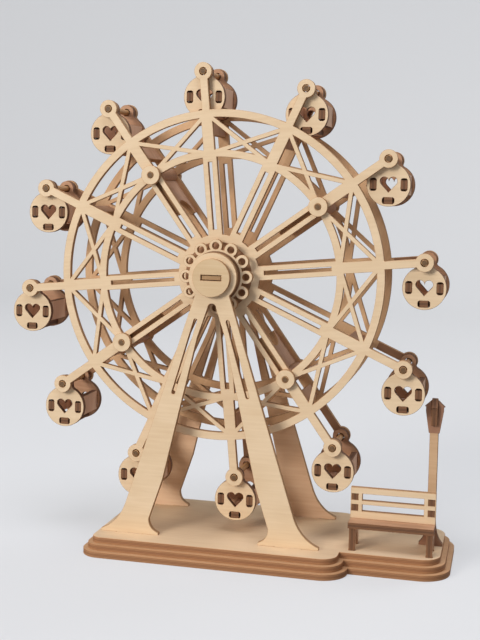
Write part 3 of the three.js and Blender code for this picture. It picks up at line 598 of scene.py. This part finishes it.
def arched_plank():
    half = DISC_SPACING / 2
    curve = arc(0, 0, ARCH_RADIUS, 90, -90, 24)
    curve = [Vector((p.x / ARCH_RADIUS * ARCH_HEIGHT - TIE_PLANK, p.y)) for p in curve]
    near = [Vector((-TIE_SLEEVE, half)), Vector((-TIE_PLANK, half))]
    return [*near, *curve, *[Vector((p.x, -p.y)) for p in reversed(near)]]


plank = sheet_mesh("bridge_plank", box(BRIDGE_INNER, BRIDGE_OUTER, -DISC_SPACING / 2, DISC_SPACING / 2))
arched = sheet_mesh("tie_plank", arched_plank())
rod = turned_mesh("tie_dowel", dowel_profile(DOWEL_RADIUS, OUTER_FACE + PLY + STAND_OUT))
sleeve = turned_mesh("tie_sleeve", dowel_profile(TIE_SLEEVE, DISC_SPACING / 2))
tie_hole = circle(0, 0, DOWEL_RADIUS + SLOT_GAP, 24)
tie_washer = sheet_mesh("tie_washer", circle(0, 0, TIE_WASHER, 40), [tie_hole])
for spoke in range(SPOKES):
    ray = WHEEL @ Matrix.Rotation(math.radians(-spoke * SECTOR), 4, "Y")
    number = f"{spoke + 1:02d}"
    place(f"bridge_plank_{number}", plank, ray, "wheel", "charred_plywood", DEEP_SHADE_SET,
          [f"spoke_bridge_{number}"])
    if spoke not in TIE_SPOKES:
        continue
    number = TIE_SPOKES.index(spoke) + 1
    tie = ray @ at(TIE_CIRCLE, 0, 0)
    place(f"tie_dowel_{number}", rod, tie @ FACING_FRONT, "wheel", "dowel", (DOWEL_SIDE, DOWEL_END),
          [f"tie_rod_{number}"])
    place(f"tie_sleeve_{number}", sleeve, tie @ FACING_FRONT, "wheel", "dowel", DEEP_SHADE_SET[:2])
    place(f"tie_plank_{number}", arched, tie, "wheel", "charred_plywood", DEEP_SHADE_SET)
    for end, side in ENDS:
        pose = tie @ at(0, side * (DISC_Y + PLY), 0) @ facing_out(side)
        place(f"tie_washer_{number}_{end}", tie_washer, pose, "wheel")


# Twelve gondolas, each of five sheets: two round ends with an ear on top and a heart cut through,
# two side walls and a floor, whose tenons sit in longer slots. Each hangs on its own dowel.
DROP, EAR_RADIUS, BODY_RADIUS, NECK_RADIUS = 8.3, 2.7, 7.1, 1.5
CABIN_DEPTH = 18.2
WALL_REACH, WALL_HEIGHT, WALL_SLOT, WALL_TENON = 5, 6.8, 4.1, 2.9
FLOOR_DROP, FLOOR_WIDTH, FLOOR_SLOT, FLOOR_TENON = 5.2, 6, 3.9, 2.7
SLOT_WIDTH, SLOT_CORNER = 2.1, 0.7
HEART_LOBE, HEART_HEIGHT = 1.4, 5
# Small sheets' cuts are charred, and darkened to nearly black with painted shade; their walls and floors
# are brown with painted shade.
CHAR_AND_SHADE_EDGE = ply_edge("charred_edge_with_painted_shade", "5E3F29", "8A6040", "6E4A30")
WALL_SHADE_FACE = ply_face("plywood_face_painted_shade", "D5AB8B", "DDB597", "E4BFA3")
WALL_SHADE_SET = (WALL_SHADE_FACE, WALL_SHADE_FACE, CHAR_AND_SHADE_EDGE)


def heart():
    centre, tip = Vector((HEART_LOBE, HEART_HEIGHT / 2 - HEART_LOBE)), Vector((0, -HEART_HEIGHT / 2))
    to_tip = tip - centre
    leave = math.degrees(math.atan2(to_tip.y, to_tip.x) + math.acos(HEART_LOBE / to_tip.length))
    right = arc(centre.x, centre.y, HEART_LOBE, 180, leave, 16)
    return [Vector((p.x, p.y - DROP)) for p in [*right, tip, *mirrored(right)[:-1]]]


def round_slot(x, y, width, height):
    reach, rise = width / 2 - SLOT_CORNER, height / 2 - SLOT_CORNER
    loop = []
    for start, across, up in ((0, 1, 1), (90, -1, 1), (180, -1, -1), (270, 1, -1)):
        loop += arc(x + across * reach, y + up * rise, SLOT_CORNER, start, start + 90, 4)
    return loop


def triangle_angle(side, following, across):
    """Angle between the first two sides of a triangle."""
    return math.degrees(math.acos((side ** 2 + following ** 2 - across ** 2) / (2 * side * following)))


def cabin_end():
    to_ear, to_body = EAR_RADIUS + NECK_RADIUS, BODY_RADIUS + NECK_RADIUS
    ear_angle = triangle_angle(DROP, to_ear, to_body)
    body_angle = triangle_angle(DROP, to_body, to_ear)
    neck = polar(to_ear, ear_angle - 90)
    hollow = arc(neck.x, neck.y, NECK_RADIUS, 270 - body_angle, 90 + ear_angle, 6)
    outline = [
        *arc(0, 0, EAR_RADIUS, ear_angle - 90, 270 - ear_angle, 16)[1:],
        *mirrored(hollow)[1:],
        *arc(0, -DROP, BODY_RADIUS, 90 + body_angle, 450 - body_angle, 48)[1:],
        *hollow[1:],
    ]
    walls = [round_slot(x, -DROP, SLOT_WIDTH, WALL_SLOT) for x in (-WALL_REACH, WALL_REACH)]
    floor = round_slot(0, -DROP - FLOOR_DROP, FLOOR_SLOT, SLOT_WIDTH)
    return outline, [circle(0, 0, DOWEL_RADIUS + TURN_GAP, 24), heart(), floor, *walls]


def plank_outline(half_width, half_length, half_tenon):
    top = [(half_width, half_length), (half_tenon, half_length), (half_tenon, half_length + PLY)]
    upper = [Vector(p) for p in top] + [Vector((-x, y)) for x, y in reversed(top)]
    return upper + [Vector((p.x, -p.y)) for p in reversed(upper)]


END_Y = (CABIN_DEPTH - PLY) / 2
UPRIGHT = Matrix.Rotation(math.radians(90), 4, "Y")
end_mesh = sheet_mesh("cabin_end", *cabin_end())
wall_mesh = sheet_mesh("cabin_wall", plank_outline(WALL_HEIGHT / 2, END_Y - PLY / 2, WALL_TENON / 2))
floor_mesh = sheet_mesh("cabin_floor", plank_outline(FLOOR_WIDTH / 2, END_Y - PLY / 2, FLOOR_TENON / 2))
pin = turned_mesh("cabin_dowel", dowel_profile(DOWEL_RADIUS, OUTER_FACE + STAND_OUT), 24)
for index in range(SPOKES):
    number = f"{index + 1:02d}"
    eye = polar(EYE_CIRCLE, REST_TURN + index * SECTOR)
    hang = at(eye.x, 0, HUB + eye.y)
    body = f"gondola_{number}"
    for end, side in ENDS:
        end_pose = hang @ at(0, side * END_Y, 0) @ facing_out(side)
        swapped = [f"cabin_{number}"] if end == "front" else ()
        # The ends' backs, inside the cabin, get the dark painted-shade face.
        place(f"cabin_{end}_{number}", end_mesh, end_pose, body, replaces=swapped,
              materials=(PALE_FACE, DEEP_SHADE_FACE, CHAR_AND_SHADE_EDGE))
    for end, side in (("left", -1), ("right", 1)):
        wall_pose = hang @ at(side * WALL_REACH, 0, -DROP) @ UPRIGHT
        place(f"cabin_{end}_wall_{number}", wall_mesh, wall_pose, body, materials=WALL_SHADE_SET)
    floor_pose = hang @ at(0, 0, -DROP - FLOOR_DROP)
    place(f"cabin_floor_{number}", floor_mesh, floor_pose, body, materials=WALL_SHADE_SET)
    place(f"cabin_dowel_{number}", pin, hang @ FACING_FRONT, "wheel", "dowel", (DOWEL_SIDE, DOWEL_END),
          [f"cabin_pin_{number}"])


# The park bench on the station plate: two sides with an arch between their legs, a seat, and a
# back with two long openings, held by the sides' tenons.
BENCH_X = middle("bench_seat").x
BENCH_HALF, BENCH_FRONT, BENCH_REAR = 13.9, -16, -6.6
LEG_WIDTH, ARCH_CONTROL, SEAT_OVERHANG, POST_DROP = 2, 10, 0.4, 0.8
BENCH_BACK_REAR = BENCH_REAR - LEG_WIDTH
SEAT_HEIGHT, BACK_HEIGHT = 9.4, 19.7
SEAT_TOP, BACK_TOP = BASE_TOP + SEAT_HEIGHT, BASE_TOP + BACK_HEIGHT
RAIL, MIDDLE_RAIL, OPENING, STILE = 2, 1.3, 2.3, 3.8
BACK_TENON = 1.9
TENON_MIDDLES = [BACK_TOP - RAIL - OPENING / 2 - i * (OPENING + MIDDLE_RAIL) for i in range(2)]


def bench_side():
    feet = []
    for y in BENCH_LEGS_Y:
        corners = ((-1, 0), (-1, -PLY), (1, -PLY), (1, 0))
        feet.append([Vector((y + sign * BENCH_TENON / 2, BASE_TOP + drop)) for sign, drop in corners])
    middle_y = (BENCH_FRONT + BENCH_REAR) / 2
    arch = bend((BENCH_FRONT + LEG_WIDTH, BASE_TOP), (middle_y, BASE_TOP + ARCH_CONTROL),
                (BENCH_REAR - LEG_WIDTH, BASE_TOP))
    post_top = BACK_TOP - POST_DROP
    post = [(BENCH_REAR, BASE_TOP), (BENCH_REAR, post_top), (BENCH_BACK_REAR, post_top)]
    for level in TENON_MIDDLES:
        for y, sign in ((0, 1), (-PLY, 1), (-PLY, -1), (0, -1)):
            post.append((BENCH_BACK_REAR + y, level + sign * BACK_TENON / 2))
    seat = [(BENCH_BACK_REAR, SEAT_TOP - PLY), (BENCH_FRONT, SEAT_TOP - PLY)]
    start = Vector((BENCH_FRONT, BASE_TOP))
    return [start, *feet[0], *arch, *feet[1], *[Vector(p) for p in post + seat]]


side_mesh = sheet_mesh("bench_side", bench_side())
for end, x in zip(("left", "right"), BENCH_SIDES_X):
    # The bench's sides and seat get the dark painted-shade face.
    place(f"bench_{end}_leg", side_mesh, at(x, 0, 0) @ FACING_SIDE, "stand",
          materials=(DEEP_SHADE_FACE, DEEP_SHADE_FACE, CHAR_AND_SHADE_EDGE), replaces=[f"bench_{end}_side"])
seat_outline = box(-BENCH_HALF, BENCH_HALF, BENCH_FRONT - SEAT_OVERHANG, BENCH_BACK_REAR)
seat = sheet_mesh("bench_seat_board", seat_outline)
place("bench_seat_board", seat, at(BENCH_X, 0, SEAT_TOP - PLY / 2), "stand",
      materials=(DEEP_SHADE_FACE, DEEP_SHADE_FACE, CHAR_AND_SHADE_EDGE), replaces=["bench_seat"])
back_holes = []
for level in TENON_MIDDLES:
    low, high = level - OPENING / 2, level + OPENING / 2
    back_holes.append(box(STILE - BENCH_HALF, BENCH_HALF - STILE, low, high))
    back_holes += [slot_loop(x - BENCH_X, level, PLY, BACK_TENON) for x in BENCH_SIDES_X]
back = sheet_mesh("bench_back_board", box(-BENCH_HALF, BENCH_HALF, SEAT_TOP, BACK_TOP), back_holes)
place("bench_back_board", back, at(BENCH_X, BENCH_BACK_REAR - PLY / 2, 0) @ FACING_FRONT, "stand",
      replaces=["bench_back"])


# The street lamp behind the bench: a post sheet that carries foot and lantern, with a second
# sheet lapped across it at the foot and another at the lantern.
LAMP_HEIGHT, ROOF_HEIGHT, LANTERN_HEIGHT, SHOULDER = 49.4, 2.7, 11.5, 1.6
EAVE, LANTERN_FOOT = LAMP_HEIGHT - ROOF_HEIGHT, LAMP_HEIGHT - LANTERN_HEIGHT
POST_HALF, LANTERN_FOOT_HALF, LANTERN_HALF, EAVE_HALF, PEAK_HALF = 1.4, 1.75, 2.9, 3.3, 0.4
FOOT_HALF, FOOT_HEIGHT, FOOT_CONTROL, FOOT_CROSS = 3.9, 10, 3, 5.5
FOOT_LAP, LANTERN_LAP, CROSS_START = 2.4, 5.6, 2.6
LAP = PLY / 2 + SLOT_GAP


def lamp_foot():
    flare = bend((FOOT_HALF, TOE_HEIGHT), (POST_HALF, FOOT_CONTROL), (POST_HALF, FOOT_HEIGHT))
    return [Vector((FOOT_HALF, 0)), *flare]


def lantern(inner):
    slope = ROOF_HEIGHT / (EAVE_HALF - PEAK_HALF)
    corners = ((LANTERN_HALF, EAVE - SHOULDER), (LANTERN_HALF, EAVE), (EAVE_HALF, EAVE),
               (inner, EAVE + (EAVE_HALF - inner) * slope))
    return [Vector(p) for p in corners]


rise = CROSS_START / (LANTERN_HEIGHT - ROOF_HEIGHT - SHOULDER)
cross_half = LANTERN_FOOT_HALF + (LANTERN_HALF - LANTERN_FOOT_HALF) * rise
post_half = [Vector((LAP, FOOT_LAP + SLOT_GAP)), Vector((LAP, 0)), *lamp_foot(),
             Vector((POST_HALF, LANTERN_FOOT)), Vector((LANTERN_FOOT_HALF, LANTERN_FOOT)), *lantern(LAP),
             Vector((LAP, LANTERN_FOOT + LANTERN_LAP - SLOT_GAP))]
foot_half = [Vector((LAMP_TENON / 2, -PLY)), Vector((LAMP_TENON / 2, 0)),
             *[p for p in lamp_foot() if p.y < FOOT_CROSS],
             Vector((LAP, FOOT_CROSS)), Vector((LAP, FOOT_LAP))]
lantern_half = [Vector((LAP, LANTERN_FOOT + LANTERN_LAP)), Vector((LAP, LANTERN_FOOT + CROSS_START)),
                Vector((cross_half, LANTERN_FOOT + CROSS_START)), *lantern(PEAK_HALF)]
# The lamp's sheets are toned darker than bare birch, and darker still at the foot and the lantern:
# painted shade.
LAMP_SHADED_FACE = painted_shade_face("lamp_face_painted_shade", ("C8A37C", "CEAA84", "D5B28C"), "A0755A",
                         [(-PLY, FOOT_CROSS), (LANTERN_FOOT, LAMP_HEIGHT)], "Y")
for name, half, turn, node in (("lamp_post_sheet", post_half, FACING_FRONT, "lamp_post"),
                               ("lamp_foot_sheet", foot_half, FACING_SIDE, "lamp_foot_cross"),
                               ("lamp_lantern_sheet", lantern_half, FACING_SIDE, "lamp_lantern_cross")):
    mesh = sheet_mesh(name, half + mirrored(half))
    place(name, mesh, at(LAMP.x, LAMP.y, BASE_TOP) @ turn, "stand",
          materials=(LAMP_SHADED_FACE, LAMP_SHADED_FACE, CHAR_AND_SHADE_EDGE), replaces=[node])


# The table and the wall behind it: one pale sweep of paper, which keeps the soft shadow.
# Its sizes are in metres.
FLOOR_FRONT, BEND_START, BEND_RADIUS, WALL_TOP, HALF_WIDTH = -2.5, 0.8, 0.4, 2.5, 3
PAPER_GLOW = 0.43


def paper():
    """Matt white paper, which glows a little to the camera alone and so stays pale."""
    material, tree, shader = new_material("pale_paper")
    seen = add(tree, "LightPath").outputs["Is Camera Ray"]
    glow = add(tree, "Math", {0: seen, 1: PAPER_GLOW}, operation="MULTIPLY").outputs["Value"]
    tree.links.new(glow, shader.inputs["Emission Strength"])
    shader.inputs["Emission Color"].default_value = linear("F4F6FA")
    shader.inputs["Base Color"].default_value = linear("A2A4A6")
    shader.inputs["Roughness"].default_value = 0.9
    return material


rounding = [(p.x, p.y) for p in arc(BEND_START, BEND_RADIUS, BEND_RADIUS, -90, 0, 15)]
sweep_profile = [(FLOOR_FRONT, 0), *rounding, (BEND_START + BEND_RADIUS, WALL_TOP)]
points = [(x, y, z) for y, z in sweep_profile for x in (-HALF_WIDTH, HALF_WIDTH)]
faces = [(2 * i, 2 * i + 1, 2 * i + 3, 2 * i + 2) for i in range(len(sweep_profile) - 1)]
sweep_mesh = bpy.data.meshes.new("paper_sweep")
sweep_mesh.from_pydata(points, [], faces)
sweep_mesh.shade_smooth()
sweep_mesh.materials.append(paper())
sweep = bpy.data.objects.new("paper_sweep", sweep_mesh)
bpy.context.scene.collection.objects.link(sweep)


# The light: a soft lamp at the camera's left, a broad one overhead, a weak one behind for the
# far side, and a dim room, which only the camera sees as pale.
KEY_SPOT, KEY_SIZE, KEY_POWER = (-0.74, -1.19, 0.58), 0.55, 15.3
TOP_SPOT, TOP_SIZE, TOP_POWER = (0.05, -0.3, 1.3), 0.7, 8.5
BACK_SPOT, BACK_SIZE, BACK_POWER = (0.75, 1.1, 0.8), 0.9, 9
ROOM_STRENGTH, ROOM_GLOW = 0.24, 0.5


def area_light(name, spot, size, power, code):
    """A square soft lamp that looks at the hub. Spot and size are in metres."""
    light = bpy.data.lights.new(name, "AREA")
    light.size, light.energy, light.color = size, power, linear(code)[:3]
    lamp = bpy.data.objects.new(name, light)
    bpy.context.scene.collection.objects.link(lamp)
    lamp.location = spot
    lamp.rotation_euler = (Vector((0, 0, HUB * MM)) - Vector(spot)).to_track_quat("-Z", "Y").to_euler()


area_light("key", KEY_SPOT, KEY_SIZE, KEY_POWER, "FFF9F2")
area_light("top", TOP_SPOT, TOP_SIZE, TOP_POWER, "F8F8FF")
area_light("back", BACK_SPOT, BACK_SIZE, BACK_POWER, "FFFCF8")
world = bpy.data.worlds.new("room")
bpy.context.scene.world = world
world.use_nodes = True
room = world.node_tree.nodes["Background"]
seen = add(world.node_tree, "LightPath").outputs["Is Camera Ray"]
level = add(world.node_tree, "Math", {0: seen, 1: ROOM_GLOW, 2: ROOM_STRENGTH},
            operation="MULTIPLY_ADD")
room.inputs["Color"].default_value = linear("F4F4F6")
world.node_tree.links.new(level.outputs["Value"], room.inputs["Strength"])


# The camera, where the photograph's view of the toy was fitted: a little right of the front and
# a little above the hub, and close, so that the near side spreads.
AZIMUTH, ELEVATION, ROLL = math.radians(13.97), math.radians(4.09), math.radians(1.2)
AIM_HEIGHT, DISTANCE = 93.94, 0.3943
LENS, SENSOR, SHIFT = 64.3, 36, (0.0205, -0.0724)
lens = bpy.data.cameras.new("camera")
lens.lens, lens.sensor_width = LENS, SENSOR
lens.shift_x, lens.shift_y = SHIFT
camera = bpy.data.objects.new("camera", lens)
bpy.context.scene.collection.objects.link(camera)
aim = Matrix.Rotation(AZIMUTH, 4, "Z") @ Matrix.Rotation(math.radians(90) - ELEVATION, 4, "X")
roll = Matrix.Rotation(ROLL, 4, "Z")
camera.matrix_world = at(0, 0, AIM_HEIGHT) @ aim @ roll @ Matrix.Translation((0, 0, DISTANCE))
bpy.context.scene.camera = camera
bpy.context.scene.view_settings.view_transform = "Standard"
